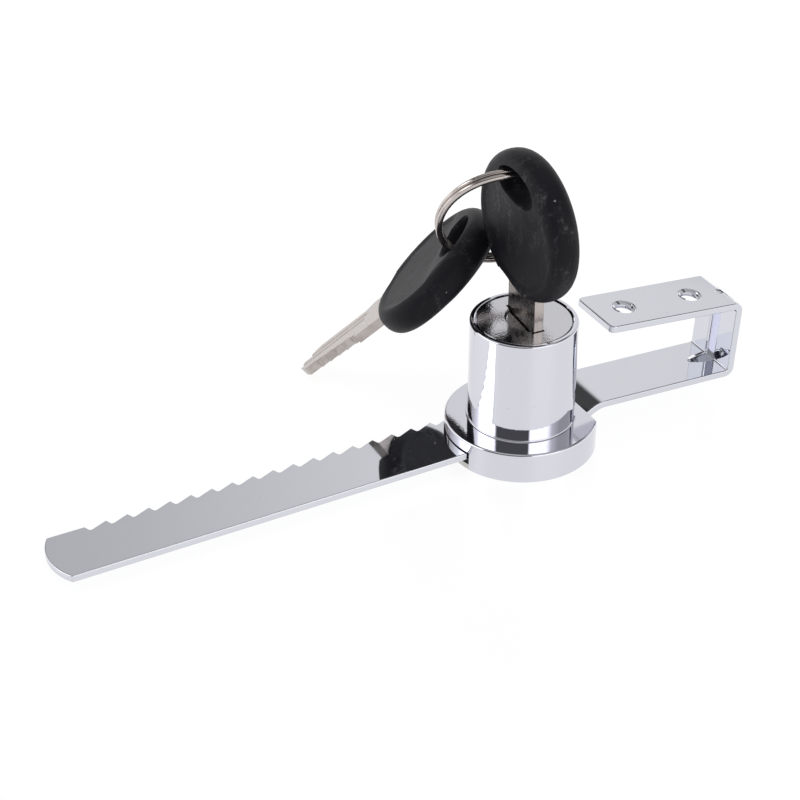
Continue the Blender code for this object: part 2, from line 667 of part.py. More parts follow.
def blade_outline():
    """Tang, shoulder and blade; the cuts on the +X edge get deeper towards the tip."""
    level_of = [level - KEY_1_AT[2] for level in wafer_levels()]
    outline = [(-TANG_WIDE / 2, TANG_TOP), (-TANG_WIDE / 2, SHOULDER), (-BLADE_HALF, SHOULDER),
               (-BLADE_HALF, BLADE_TIP + 3.6), (-1.6, BLADE_TIP + 0.5), (-0.9, BLADE_TIP), (0.5, BLADE_TIP)]
    deepest = CUT_FIRST + CUT_STEP * (WAFER_COUNT - 1)
    outline.append((BLADE_HALF - deepest, BLADE_TIP + 1.9))
    for number in reversed(range(WAFER_COUNT)):
        edge = BLADE_HALF - CUT_FIRST - CUT_STEP * number
        outline.append((edge, level_of[number] - 0.75))
        outline.append((edge, level_of[number] + 0.75))
    outline += [(BLADE_HALF, level_of[0] + 1.5), (BLADE_HALF, SHOULDER), (TANG_WIDE / 2, SHOULDER),
                (TANG_WIDE / 2, TANG_TOP)]
    return outline


def make_key_blade(name, parent):
    half = BLADE_THICK / 2
    blade = solid(name, prism(blade_outline(), -half, half, "y"), "nickel_blade", parent)
    for number, (middle, side) in enumerate(BLADE_GROOVES, 1):
        x0, x1 = middle - BLADE_GROOVE_WIDE / 2, middle + BLADE_GROOVE_WIDE / 2
        y0, y1 = sorted((side * (half - BLADE_GROOVE_DEEP), side * (half + 1)))
        cut(blade, f"{name}_groove_cutter_{number}", box((x0, y0, BLADE_TIP - 1), (x1, y1, SHOULDER - 1.5)))


def ring_frame():
    """Matrix whose Z is the ring's axis and whose X points to the pivot in the first key."""
    axis = Vector(RING_NORMAL).normalized()
    spoke = Vector(RING_PIVOT) - Vector(RING_CENTRE)
    across = (spoke - axis * spoke.dot(axis)).normalized()
    turn = Matrix((across, axis.cross(across), axis)).transposed().to_4x4()
    return Matrix.Translation(RING_CENTRE) @ turn


def make_key_ring(parent):
    """A split ring: nearly two turns of flattened wire, side by side, with a jog between the layers."""
    sweep = 2 * math.tau - RING_JOG * 1.15
    jog_start = math.tau - RING_JOG

    def level(travelled):
        share = min(max((travelled - jog_start) / RING_JOG, 0), 1)
        return RING_LAYER * (2 * share * share * (3 - 2 * share) - 1)

    shape = moved(coil(RING_R, RING_WIRE, level, RING_START, sweep, 44, 8), ring_frame())
    ring = solid("key_ring", shape, "ring_nickel")
    attach(ring, parent, keep_world=True)


# ---- assembly --------------------------------------------------------------
def make_lock():
    clear_scene()
    make_bar(frame_empty("bar_frame"))
    lock = frame_empty("lock_frame")
    make_housing(lock)
    make_base_plate(lock)
    make_rivets(lock)
    make_plug_clip(lock)
    make_pawl_spring(lock)
    make_pawl(frame_empty("pawl_frame"))
    plug_axis = frame_empty("plug_axis", turn=(0, 0, PLUG_YAW))
    make_plug(plug_axis)
    make_plug_cap(plug_axis)
    for number, level in enumerate(wafer_levels(), 1):
        make_wafer(number, level, plug_axis)
        make_wafer_spring(number, level, plug_axis)
    key_1 = frame_empty("key_1_frame", KEY_1_AT, (0, 0, PLUG_YAW))
    make_key_blade("key_1_blade", key_1)
    make_key_head("key_1_head", key_1)
    make_key_ring(frame_empty("ring_pivot", RING_PIVOT))
    key_2_pivot = frame_empty("key_2_pivot", KEY_2_PIVOT)
    key_2 = frame_empty("key_2_frame", KEY_2_AT, Euler(KEY_2_TURN))
    attach(key_2, key_2_pivot, keep_world=True)
    make_key_blade("key_2_blade", key_2)
    make_key_head("key_2_head", key_2)


make_lock()
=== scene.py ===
"""Studio scene of a ratchet lock for sliding glass doors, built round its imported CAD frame.

Sizes below are in millimetres in the CAD's frame: +X along the bar to the hook, +Y to the teeth,
+Z up the barrel. The finer pieces stand where the CAD nodes they replace stand.
"""

import json
import math

import bmesh
import bpy
from mathutils import Euler, Matrix, Vector


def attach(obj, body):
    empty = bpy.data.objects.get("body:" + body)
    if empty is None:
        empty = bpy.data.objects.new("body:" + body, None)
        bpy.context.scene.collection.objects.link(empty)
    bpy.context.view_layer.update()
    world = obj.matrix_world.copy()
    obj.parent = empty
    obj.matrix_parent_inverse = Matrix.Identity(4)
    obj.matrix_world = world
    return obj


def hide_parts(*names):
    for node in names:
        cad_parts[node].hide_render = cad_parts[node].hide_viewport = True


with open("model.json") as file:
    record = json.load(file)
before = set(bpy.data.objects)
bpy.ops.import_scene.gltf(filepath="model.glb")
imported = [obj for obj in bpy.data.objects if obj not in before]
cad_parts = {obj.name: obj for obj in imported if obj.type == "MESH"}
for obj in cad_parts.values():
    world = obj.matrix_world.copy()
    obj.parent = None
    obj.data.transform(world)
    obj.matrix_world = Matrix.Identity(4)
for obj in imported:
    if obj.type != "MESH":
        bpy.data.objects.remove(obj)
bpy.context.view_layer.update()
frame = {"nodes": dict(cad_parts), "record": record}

MM = 0.001

# ---- bar with U hook -------------------------------------------------------
BAR_THICK = 1.35
BAR_TOP = 3.40
BAR_NEAR = -3.75
BAR_FAR = 7.95
BAR_MID = (BAR_NEAR + BAR_FAR) / 2
BAR_END = -86.5
BAR_END_BULGE = 1.85
BAR_ROUNDING = 0.22
TOOTH_PITCH = 3.87
TOOTH_FIRST = -79.81
TOOTH_COUNT = 23
TOOTH_STEEP = 0.65
TOOTH_ROOT = 6.65
STRIP_JOIN = 9.6
HOOK_LINE = ((STRIP_JOIN, 2.725), (10.40, 2.725), (14.45, 4.83),
             (43.05, 3.18), (43.9, 17.22), (15.9, 20.09))
HOOK_BENDS = (1.2, 5.2, 1.05, 1.25)
HOOK_CORNER = 1.1
CLAMP_HOLES = (22.2, 36.5)
CLAMP_HOLE_R = 1.92
CLAMP_SINK_R = 2.22
THREAD_PITCH = 0.62
RIB_HALF = 1.55
RIB_RISE = 0.90
RIB_ROOT = 0.3
RIB_BLUNT = 0.25
RIB_MARGIN = 0.2
GROOVE_DEEP = 2.0
GROOVE_START = 1.2
GROOVE_PAST = 2.0
DART_LENGTH = 5.2
DART_HALF = 1.8
DART_RISE = 0.85
DART_DIP = 0.12
DIMPLE_AT = (42.59, -1.32, 6.70)
DIMPLE_DEEP = 0.20
DENT_R = 1.6
NOTCH_AT = (42.95, 1.45, 18.00)
NOTCH_DEEP = 0.24

# ---- lock barrel -----------------------------------------------------------
FLANGE_R = 13.60
FLANGE_TOP = 5.77
FLANGE_FLAT = 10.30
BARREL_R = 9.50
BARREL_TOP = 25.18
BORE_R = 6.45
BORE_FLOOR = 5.20
COUNTERBORE_R = 8.55
COUNTERBORE_FLOOR = 23.20
SLOT_NEAR = -4.15
SLOT_FAR = 8.35
SLOT_ROOF = 3.65
PLATE_RECESS_R = 12.20
PLATE_RECESS = 1.20
RIVET_SPOTS = ((-6.5, -8.3), (6.5, -8.3))
RIVET_HOLE_R = 1.1
PAWL_X = 1.60
PAWL_NEAR = -2.2
PAWL_BACK = 11.30
PAWL_TRAVEL = 1.56
PAWL_SPRING_Z = 3.20
PAWL_SPRING_BORE_R = 1.25
PIN_AT = (6.15, 7.80)
PIN_R = 0.75
WAFER_POCKET = ((-7.3, -2.5, 9.6), (-5.0, 2.5, 21.6))

# ---- plug cap and keyway ---------------------------------------------------
PLUG_YAW = math.radians(-94.4)
PLUG_THROW = math.radians(75)
CAP_R = 8.30
CAP_LOW = 23.45
CAP_TOP = 25.00
KEYWAY_AT = (-0.30, 0.30)
KEYWAY_THICK = 2.30
CAP_SLOT_WIDE = 10.50
RELIEF_AT = (-0.10, 1.95)
RELIEF_R = 5.10
RELIEF_DEEP = 0.55

# ---- keys and ring ---------------------------------------------------------
KEY_1_AT = (0.35, 0.27, 30.25)
KEY_2_AT = (-12.91, 25.44, 17.88)
KEY_2_TURN = (math.radians(-43.70), math.radians(4.07), math.radians(-134.24))
HEAD_HALF = 14.35
HEAD_MID = 12.86
HEAD_LOW = 0.20
HEAD_TOP = 26.00
HEAD_THICK = 6.18
HEAD_STEPS = 112
HEAD_ROUND = 3.00
HEAD_EDGE_POWER = 2.25
HEAD_POWER_LOW = 2.03
HEAD_POWER_TOP = 2.00
PANEL_INSET = 1.3
PANEL_SLOPE = 1.9
PANEL_DEEP = 0.60
PANEL_FADE = (15.5, 19.0)
RING_HOLE_AT = (0.20, 20.80)
RING_HOLE_WIDE = 11.70
RING_HOLE_HIGH = 5.30
TANG_WIDE = 10.00
TANG_TOP = 8.50
SHOULDER = -6.85
BLADE_HALF = 3.85
BLADE_TIP = -24.00
BLADE_THICK = 1.75
WAFER_LEVELS = (-9.65, -12.15, -14.65, -17.15, -19.65)
CUT_FIRST = 0.50
CUT_STEP = 0.30
BLADE_GROOVES = ((-2.0, -1), (-0.2, -1), (-0.9, 1))
RING_CENTRE = (-0.26, 8.04, 41.33)
RING_NORMAL = (-0.299, -0.879, -0.371)
RING_R = 11.03
RING_WIRE = (0.60, 0.43)
RING_LAYER = 0.49
RING_JOG = math.radians(60)
RING_START = math.radians(270)
RING_PIVOT = (0.61, 3.52, 51.35)

# ---- camera ----------------------------------------------------------------
CAMERA_AT = (-174.218, -274.066, 220.934)
CAMERA_RIGHT = (0.87850975, -0.47771298, 0.00330651)
CAMERA_UP = (0.25970493, 0.48338137, 0.83599988)
CAMERA_FORWARD = (0.4009663, 0.73357533, -0.54871966)
CAMERA_LENS = 98.589


# ---- node helpers ----------------------------------------------------------
class Nodes:
    """A short way to write a material: each call adds a node, links its inputs and returns its output."""

    def __init__(self, tree):
        self.tree = tree

    def add(self, kind, output=0, settings=None, **inputs):
        node = self.tree.nodes.new(kind)
        for name, value in (settings or {}).items():
            setattr(node, name, value)
        for name, value in inputs.items():
            key = int(name[1:]) if name[0] == "i" and name[1:].isdigit() else name.replace("_", " ")
            self.put(node.inputs[key], value)
        return node.outputs[output]

    def put(self, socket, value):
        if isinstance(value, bpy.types.NodeSocket):
            self.tree.links.new(value, socket)
        else:
            socket.default_value = value

    def math(self, operation, first, second=0.0, third=0.0):
        return self.add("ShaderNodeMath", settings={"operation": operation}, i0=first, i1=second, i2=third)

    def noise(self, scale, detail=2.0, vector=None, roughness=0.5):
        inputs = {"Scale": scale, "Detail": detail, "Roughness": roughness}
        if vector is not None:
            inputs["Vector"] = vector
        return self.add("ShaderNodeTexNoise", **inputs)

    def ramp(self, value, stops):
        """Maps a value through (position, grey or colour) stops."""
        node = self.tree.nodes.new("ShaderNodeValToRGB")
        elements = node.color_ramp.elements
        elements[0].position, elements[1].position = stops[0][0], stops[-1][0]
        for place, _ in stops[1:-1]:
            elements.new(place)
        for element, (_, shade) in zip(elements, stops):
            element.color = (*shade, 1.0) if isinstance(shade, tuple) else (shade, shade, shade, 1.0)
        self.put(node.inputs[0], value)
        return node.outputs[0]

    def blend(self, share, first, second):
        settings = {"data_type": "RGBA"}
        return self.add("ShaderNodeMix", output=2, settings=settings, i0=share, i6=first, i7=second)

    def position(self):
        return self.add("ShaderNodeTexCoord", output="Object")

    def stretched(self, vector, scale, turn=(0, 0, 0)):
        return self.add("ShaderNodeMapping", Vector=vector, Scale=scale, Rotation=turn)

    def bump(self, height, distance, strength=1.0, normal=None):
        inputs = {"Height": height, "Distance": distance, "Strength": strength}
        if normal is not None:
            inputs["Normal"] = normal
        return self.add("ShaderNodeBump", **inputs)


def new_material(name):
    material = bpy.data.materials.new(name)
    material.use_nodes = True
    nodes = Nodes(material.node_tree)
    shader = material.node_tree.nodes["Principled BSDF"]
    return material, nodes, shader


# ---- materials -------------------------------------------------------------
def chrome(name, colour, roughness, ripple=1.0, waves=0.6, pits=0.5, speckle=0.0, rarity=0.66):
    """Bright plating: a faint orange peel, small pits, and a thin film of dust and smears."""
    material, nodes, shader = new_material(name)
    place = nodes.position()
    peel = nodes.noise(420.0, 2.0, place)
    pit_cells = nodes.add("ShaderNodeTexVoronoi", Vector=place, Scale=1500.0, Randomness=1.0)
    rare = nodes.noise(1100.0, 1.0, place)
    pit = nodes.math("LESS_THAN", pit_cells, 0.20)
    pit = nodes.math("MULTIPLY", pit, nodes.math("GREATER_THAN", rare, rarity))
    smear = nodes.noise(60.0, 4.0, nodes.stretched(place, (1.0, 2.5, 1.0)), 0.6)
    grain = nodes.noise(2600.0, 2.0, place)
    rough = nodes.math("MULTIPLY_ADD", nodes.math("SUBTRACT", smear, 0.45), 0.10, roughness)
    rough = nodes.math("MULTIPLY_ADD", pit, 0.25, nodes.math("MAXIMUM", rough, 0.015))
    height = nodes.math("MULTIPLY_ADD", grain, speckle, nodes.math("MULTIPLY", peel, waves))
    normal = nodes.bump(height, 0.000012 * ripple, 1.0)
    normal = nodes.bump(nodes.math("MULTIPLY", pit, -1.0), 0.00004 * pits, 1.0, normal)
    dark = tuple(0.55 * value for value in colour)
    base = nodes.blend(nodes.math("MULTIPLY", pit, 0.8), (*colour, 1), (*dark, 1))
    nodes.put(shader.inputs["Base Color"], base)
    nodes.put(shader.inputs["Metallic"], 1.0)
    nodes.put(shader.inputs["Roughness"], rough)
    nodes.put(shader.inputs["Normal"], normal)
    return material


def worn_metal(name, colour, scuffed, roughness, scratch=1.0, share=0.5):
    """Milled or drawn metal: fine lengthwise scratches and duller, paler scuffed patches."""
    material, nodes, shader = new_material(name)
    place = nodes.position()
    drawn = nodes.noise(1500.0, 3.0, nodes.stretched(place, (1.0, 1.0, 0.06)))
    crossed = nodes.noise(900.0, 3.0, nodes.stretched(place, (1.0, 0.3, 1.0)))
    edges = ((0.60 - 0.3 * share, 0.0), (0.72 - 0.2 * share, 1.0))
    patches = nodes.ramp(nodes.noise(260.0, 5.0, place, 0.65), edges)
    nodes.put(shader.inputs["Base Color"], nodes.blend(patches, (*colour, 1), (*scuffed, 1)))
    nodes.put(shader.inputs["Metallic"], 1.0)
    rough = nodes.math("MULTIPLY_ADD", drawn, 0.10, roughness - 0.05)
    rough = nodes.math("MULTIPLY_ADD", patches, 0.16, rough)
    nodes.put(shader.inputs["Roughness"], rough)
    height = nodes.math("MULTIPLY_ADD", crossed, 0.5, drawn)
    nodes.put(shader.inputs["Normal"], nodes.bump(height, 0.00003 * scratch))
    return material


def rubber(name):
    """Matt black moulded head: fine grain, a soft sheen, speckled grey rub marks and a few pale flecks."""
    material, nodes, shader = new_material(name)
    place = nodes.position()
    grain = nodes.noise(2400.0, 3.0, place)
    lumps = nodes.noise(170.0, 3.0, place)
    broad = nodes.ramp(nodes.noise(75.0, 2.0, place), ((0.42, 0.0), (0.62, 1.0)))
    streaks = nodes.noise(330.0, 4.0, nodes.stretched(place, (1.0, 1.0, 0.35), (0.5, 0.3, 0.0)), 0.7)
    streaks = nodes.ramp(streaks, ((0.49, 0.0), (0.68, 1.0)))
    specks = nodes.ramp(nodes.noise(1900.0, 3.0, place, 0.75), ((0.48, 0.12), (0.60, 1.0)))
    rub = nodes.math("MULTIPLY", nodes.math("MULTIPLY", streaks, broad), specks)
    cells = nodes.add("ShaderNodeTexVoronoi", Vector=place, Scale=600.0)
    rare = nodes.math("GREATER_THAN", nodes.noise(420.0, 1.0, place), 0.66)
    fleck = nodes.math("MULTIPLY", nodes.math("LESS_THAN", cells, 0.13), rare)
    black, rubbed = (0.0095, 0.0095, 0.0125, 1), (0.13, 0.13, 0.138, 1)
    base = nodes.blend(nodes.math("MULTIPLY", rub, 0.85), black, rubbed)
    base = nodes.blend(nodes.math("MULTIPLY", fleck, 0.7), base, (0.30, 0.30, 0.31, 1))
    nodes.put(shader.inputs["Base Color"], base)
    rough = nodes.math("MULTIPLY_ADD", rub, 0.16, nodes.math("MULTIPLY_ADD", lumps, 0.10, 0.44))
    nodes.put(shader.inputs["Roughness"], rough)
    nodes.put(shader.inputs["Specular IOR Level"], 0.11)
    height = nodes.math("MULTIPLY_ADD", lumps, 3.0, nodes.math("MULTIPLY_ADD", rub, 0.8, grain))
    nodes.put(shader.inputs["Normal"], nodes.bump(height, 0.00003))
    return material


def make_materials():
    return {
        "chrome_bar": chrome("plated_strip", (0.64, 0.65, 0.70), 0.035,
                             ripple=0.3, pits=0.8, speckle=0.1, rarity=0.74),
        "chrome_body": chrome("plated_casting", (0.655, 0.655, 0.715), 0.045,
                              ripple=0.35, pits=1.2, speckle=0.8, rarity=0.72),
        "chrome_cap": chrome("plated_face", (0.56, 0.56, 0.59), 0.10,
                             ripple=1.3, waves=0.05, pits=1.2, speckle=1.3, rarity=0.70),
        "zinc_plate": worn_metal("zinc_sheet", (0.50, 0.49, 0.47), (0.62, 0.61, 0.60), 0.34),
        "zinc_rivet": worn_metal("zinc_rivet_metal", (0.52, 0.51, 0.49), (0.64, 0.63, 0.61), 0.30),
        "brass_plug": worn_metal("turned_brass", (0.70, 0.53, 0.25), (0.78, 0.64, 0.38), 0.28),
        "brass_wafer": worn_metal("stamped_brass", (0.76, 0.60, 0.30), (0.82, 0.70, 0.45), 0.26),
        "spring_wire": worn_metal("spring_steel", (0.52, 0.52, 0.53), (0.60, 0.60, 0.60), 0.24),
        "hard_steel": worn_metal("hardened_steel", (0.36, 0.36, 0.38), (0.48, 0.48, 0.50), 0.30),
        "nickel_blade": worn_metal("key_nickel", (0.39, 0.35, 0.33), (0.50, 0.46, 0.44), 0.22,
                                   scratch=1.6),
        "ring_nickel": worn_metal("ring_wire_nickel", (0.52, 0.47, 0.45), (0.62, 0.58, 0.55), 0.15,
                                  scratch=0.5, share=0.2),
        "black_rubber": rubber("moulded_head"),
    }


# ---- shape helpers ---------------------------------------------------------
def arc(centre, radius, start, end, steps, closed=False):
    count = steps if closed else steps + 1
    angles = [start + (end - start) * i / steps for i in range(count)]
    return [(centre[0] + radius * math.cos(a), centre[1] + radius * math.sin(a)) for a in angles]


def prism(outline, low, high, axis="z"):
    """Extrudes an outline along one axis; it lies in XY for z, XZ for y and YZ for x."""
    orders = {"z": (0, 1, 2), "y": (0, 2, 1), "x": (2, 0, 1)}

    def place(a, b, c):
        return Vector([(a, b, c)[index] for index in orders[axis]])

    shape = bmesh.new()
    base = [shape.verts.new(place(a, b, low)) for a, b in outline]
    face = shape.faces.new(base)
    grown = bmesh.ops.extrude_face_region(shape, geom=[face])
    top = [item for item in grown["geom"] if isinstance(item, bmesh.types.BMVert)]
    bmesh.ops.translate(shape, verts=top, vec=place(0, 0, high - low))
    return shape


def box(low, high):
    (x0, y0, z0), (x1, y1, z1) = low, high
    return prism(((x0, y0), (x1, y0), (x1, y1), (x0, y1)), z0, z1)


def round_bar(centre, radius, low, high, axis="z", steps=48):
    return prism(arc(centre, radius, 0, math.tau, steps, closed=True), low, high, axis)


def turned(profile, steps):
    """Spins a profile of (radius, height) points about Z; its ends are on the axis."""
    shape = bmesh.new()
    points = [shape.verts.new((radius, 0, height)) for radius, height in profile]
    edges = [shape.edges.new(pair) for pair in zip(points, points[1:])]
    bmesh.ops.spin(shape, geom=points + edges, axis=(0, 0, 1), cent=(0, 0, 0), steps=steps, angle=math.tau)
    bmesh.ops.remove_doubles(shape, verts=shape.verts, dist=1e-4)
    return shape


def ball(centre, radius):
    """A closed ball, turned from a half circle."""
    half_circle = arc((0, 0), radius, math.pi / 2, -math.pi / 2, 12)[1:-1]
    return moved(turned([(0, radius), *half_circle, (0, -radius)], 24), Matrix.Translation(centre))


def moved(shape, matrix):
    bmesh.ops.transform(shape, matrix=matrix, verts=shape.verts)
    return shape


def skin(rings):
    """Joins rings of points into a tube with closed ends."""
    shape = bmesh.new()
    rows = [[shape.verts.new(point) for point in ring] for ring in rings]
    count = len(rows[0])
    for first, second in zip(rows, rows[1:]):
        for index in range(count):
            other = (index + 1) % count
            shape.faces.new((first[index], first[other], second[other], second[index]))
    shape.faces.new(rows[0])
    shape.faces.new(list(reversed(rows[-1])))
    return shape


def piece(name, shape, matrix=None, cutters=(), unions=(), bevel=None, sharp=32, segments=3, crease=None):
    """Makes an object from a mesh in millimetres, after its cuts and an optional edge rounding.

    Edges over the sharp angle are rounded; those over the crease angle, or else the sharp one, shade hard.
    """
    item = raw_object(name, shape)
    for index, extra in enumerate(unions):
        boolean(item, raw_object(f"{name}_join_{index}", extra), "UNION")
    for index, extra in enumerate(cutters):
        boolean(item, raw_object(f"{name}_cut_{index}", extra), "DIFFERENCE")
    if bevel:
        weld(item)
        rounding = item.modifiers.new("rounding", "BEVEL")
        rounding.width = bevel
        rounding.segments = segments
        rounding.limit_method = "ANGLE"
        rounding.angle_limit = math.radians(sharp)
        rounding.use_clamp_overlap = False
        bake(item)
    mesh = item.data
    mesh.transform(Matrix.Scale(MM, 4) @ (matrix or Matrix.Identity(4)))
    clean = bmesh.new()
    clean.from_mesh(mesh)
    bmesh.ops.recalc_face_normals(clean, faces=clean.faces)
    clean.to_mesh(mesh)
    clean.free()
    mesh.shade_smooth()
    mesh.set_sharp_from_angle(angle=math.radians(crease or sharp))
    even = item.modifiers.new("even_normals", "WEIGHTED_NORMAL")
    even.keep_sharp = True
    even.weight = 100
    return item


def weld(item):
    """Merges the tiny edges that the cuts leave, so that the rounding of the edges stays even."""
    mesh = bmesh.new()
    mesh.from_mesh(item.data)
    bmesh.ops.remove_doubles(mesh, verts=mesh.verts, dist=0.02)
    bmesh.ops.dissolve_degenerate(mesh, edges=mesh.edges, dist=0.01)
    mesh.to_mesh(item.data)
    mesh.free()


def raw_object(name, shape):
    bmesh.ops.recalc_face_normals(shape, faces=shape.faces)
    mesh = bpy.data.meshes.new(name)
    shape.to_mesh(mesh)
    shape.free()
    item = bpy.data.objects.new(name, mesh)
    bpy.context.scene.collection.objects.link(item)
    return item


def boolean(item, tool, operation):
    step = item.modifiers.new("step", "BOOLEAN")
    step.operation = operation
    step.object = tool
    step.solver = "EXACT"
    bake(item)
    bpy.data.objects.remove(tool, do_unlink=True)


def bake(item):
    """Applies the object's modifiers to its mesh."""
    bpy.context.view_layer.update()
    graph = bpy.context.evaluated_depsgraph_get()
    mesh = bpy.data.meshes.new_from_object(item.evaluated_get(graph))
    item.modifiers.clear()
    old = item.data
    item.data = mesh
    bpy.data.meshes.remove(old)


def finish_piece(item, body, slot, *nodes):
    """Gives a piece the material of its slot and its body, and hides the CAD nodes it stands for."""
    item.data.materials.clear()
    item.data.materials.append(materials[slot])
    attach(item, body)
    if nodes:
        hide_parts(*nodes)
    return item


# ---- bar -------------------------------------------------------------------
def bent_path(points, radii, steps):
    """The polyline with each inner corner replaced by an arc of the given radius."""
    path = [Vector(points[0])]
    for before, corner, after, radius in zip(points, points[1:], points[2:], radii):
        corner = Vector(corner)
        come = (corner - Vector(before)).normalized()
        leave = (Vector(after) - corner).normalized()
        bend = come.angle(leave)
        reach = radius * math.tan(bend / 2)
        side = 1 if come.x * leave.y - come.y * leave.x > 0 else -1
        centre = corner - come * reach + Vector((-come.y, come.x)) * radius * side
        spoke = (corner - come * reach) - centre
        for step in range(steps + 1):
            path.append(centre + Matrix.Rotation(side * bend * step / steps, 2) @ spoke)
    path.append(Vector(points[-1]))
    return path


def strip_outline(path, thick):
    """Both sides of a strip of metal that follows the path."""
    left, right = [], []
    for index, point in enumerate(path):
        before = path[max(index - 1, 0)]
        after = path[min(index + 1, len(path) - 1)]
        come = (point - before) if index else (after - point)
        leave = (after - point) if index < len(path) - 1 else come
        normal = (come.normalized() + leave.normalized()).normalized()
        normal = Vector((-normal.y, normal.x))
        spread = thick / 2 / max(0.5, math.cos(come.angle(leave) / 2))
        left.append(tuple(point + normal * spread))
        right.append(tuple(point - normal * spread))
    return left + right[::-1]


def toothed_outline():
    """The flat strip seen from above: curved free end, saw teeth on the far edge, plain near edge."""
    half = (BAR_FAR - BAR_NEAR) / 2
    middle = BAR_NEAR + half
    radius = (half ** 2 + BAR_END_BULGE ** 2) / (2 * BAR_END_BULGE)
    spread = math.asin(half / radius)
    centre = (BAR_END - BAR_END_BULGE + radius, middle)
    outline = [(STRIP_JOIN, BAR_NEAR), (STRIP_JOIN, BAR_FAR)]
    for tooth in reversed(range(TOOTH_COUNT)):
        tip = TOOTH_FIRST + TOOTH_PITCH * tooth
        outline.append((tip + TOOTH_PITCH * 0.96, BAR_FAR - 0.03))
        outline.append((tip + TOOTH_STEEP + 0.22, TOOTH_ROOT + 0.05))
        outline.append((tip + TOOTH_STEEP - 0.10, TOOTH_ROOT + 0.10))
        outline.append((tip + 0.08, BAR_FAR - 0.05))
    outline += arc(centre, radius, math.pi - spread, math.pi + spread, 28)
    return outline


def hook_shape():
    """The joggled strip and U hook, with the corners of the hook's free end rounded."""
    path = bent_path(HOOK_LINE, HOOK_BENDS, 12)
    shape = prism(strip_outline(path, BAR_THICK), BAR_NEAR, BAR_FAR, "y")
    end_x, end_z = HOOK_LINE[-1]
    tip_edges = []
    for edge in shape.edges:
        at_tip = all(abs(v.co.x - end_x) < 0.4 and abs(v.co.z - end_z) < BAR_THICK for v in edge.verts)
        if at_tip and abs(edge.verts[0].co.y - edge.verts[1].co.y) < 0.01:
            tip_edges.append(edge)
    bmesh.ops.bevel(shape, geom=tip_edges, offset=HOOK_CORNER, segments=7, affect="EDGES", profile=0.5)
    return shape


def bar_blank():
    """The toothed strip and the hook, welded into one body where their ends meet."""
    blank = prism(toothed_outline(), BAR_TOP - BAR_THICK, BAR_TOP)
    hook = hook_shape()
    part = bpy.data.meshes.new("hook_blank")
    hook.to_mesh(part)
    hook.free()
    blank.from_mesh(part)
    bpy.data.meshes.remove(part)
    joint = [face for face in blank.faces if all(abs(vert.co.x - STRIP_JOIN) < 1e-4 for vert in face.verts)]
    bmesh.ops.delete(blank, geom=joint, context="FACES_ONLY")
    bmesh.ops.remove_doubles(blank, verts=blank.verts, dist=1e-3)
    return blank


def leg_frame():
    """Matrix whose Z runs up the middle of the hook's leg and whose X points out of the hook."""
    low, high = Vector(HOOK_LINE[3]), Vector(HOOK_LINE[4])
    lean = math.atan2(high.x - low.x, high.y - low.y)
    return Matrix.Translation((low.x, BAR_MID, low.y)) @ Matrix.Rotation(lean, 4, "Y")


def leg_length():
    return (Vector(HOOK_LINE[4]) - Vector(HOOK_LINE[3])).length


def rib_outline(inner_x, depth, blunt=0.0):
    """A V whose ridge stands at inner_x on the hook's inner side; a blunt ridge is a little rounded."""
    half = depth * RIB_HALF / RIB_RISE
    lift = blunt * depth / half
    ridge = ((inner_x, 0),)
    if blunt:
        ridge = ((inner_x + lift, blunt), (inner_x + lift * 0.3, 0), (inner_x + lift, -blunt))
    return ((inner_x + depth, half), *ridge, (inner_x + depth, -half))


def corner_dart():
    """The dart pressed into the lower bend: half a pointed boat that runs out along the lower strip."""
    low, far = Vector(HOOK_LINE[3]), Vector(HOOK_LINE[2])
    slope = (far.y - low.y) / (far.x - low.x)
    rings = []
    for step in range(15):
        angle = math.radians(88) * step / 14
        x = low.x - 0.30 - DART_LENGTH * math.sin(angle)
        half = DART_HALF * math.cos(angle)
        rise = (DART_RISE + DART_DIP) * math.cos(angle) - DART_DIP
        top = low.y + slope * (x - low.x) + BAR_THICK / 2 - 0.02
        ring = [(x, BAR_MID - half, top - 0.5)]
        for across in (-1, -0.75, -0.5, -0.25, -0.08, 0, 0.08, 0.25, 0.5, 0.75, 1):
            ring.append((x, BAR_MID + half * across, top + rise * (1 - abs(across))))
        rings.append(ring + [(x, BAR_MID + half, top - 0.5)])
    return skin(rings)


def flange_frame(hole_x):
    """Matrix at a clamp hole's centre on the flange's mid plane, with Z square to the flange."""
    low, high = Vector(HOOK_LINE[4]), Vector(HOOK_LINE[5])
    share = (hole_x - low.x) / (high.x - low.x)
    centre = low + (high - low) * share
    lean = math.atan2(low.x - high.x, high.y - low.y) - math.pi / 2
    return Matrix.Translation((centre.x, BAR_MID, centre.y)) @ Matrix.Rotation(-lean, 4, "Y")


def sink_shape():
    """A through hole with a small countersink at each face."""
    half = BAR_THICK / 2
    deep = CLAMP_SINK_R - CLAMP_HOLE_R
    levels = ((-half - 0.4, CLAMP_SINK_R + 0.4), (-half + deep, CLAMP_HOLE_R), (half - deep, CLAMP_HOLE_R),
              (half + 0.4, CLAMP_SINK_R + 0.4))
    return skin([[(x, y, z) for x, y in arc((0, 0), r, 0, math.tau, 48, closed=True)] for z, r in levels])


def thread_shape():
    """The screw thread's ridge: a wire of triangular section wound inside the hole."""
    half = BAR_THICK / 2 - 0.18
    turns = 2 * half / THREAD_PITCH
    count = round(turns * 40)
    rings = []
    for step in range(count + 1):
        share = step / count
        fade = min(1.0, 8 * share + 0.15, 8 * (1 - share) + 0.15)
        angle = math.tau * turns * share
        level = -half + 2 * half * share
        section = ((CLAMP_HOLE_R + 0.10, -0.27), (CLAMP_HOLE_R - 0.34 * fade, -0.04),
                   (CLAMP_HOLE_R - 0.34 * fade, 0.04), (CLAMP_HOLE_R + 0.10, 0.27))
        rings.append([(r * math.cos(angle), r * math.sin(angle), level + z) for r, z in section])
    return skin(rings)


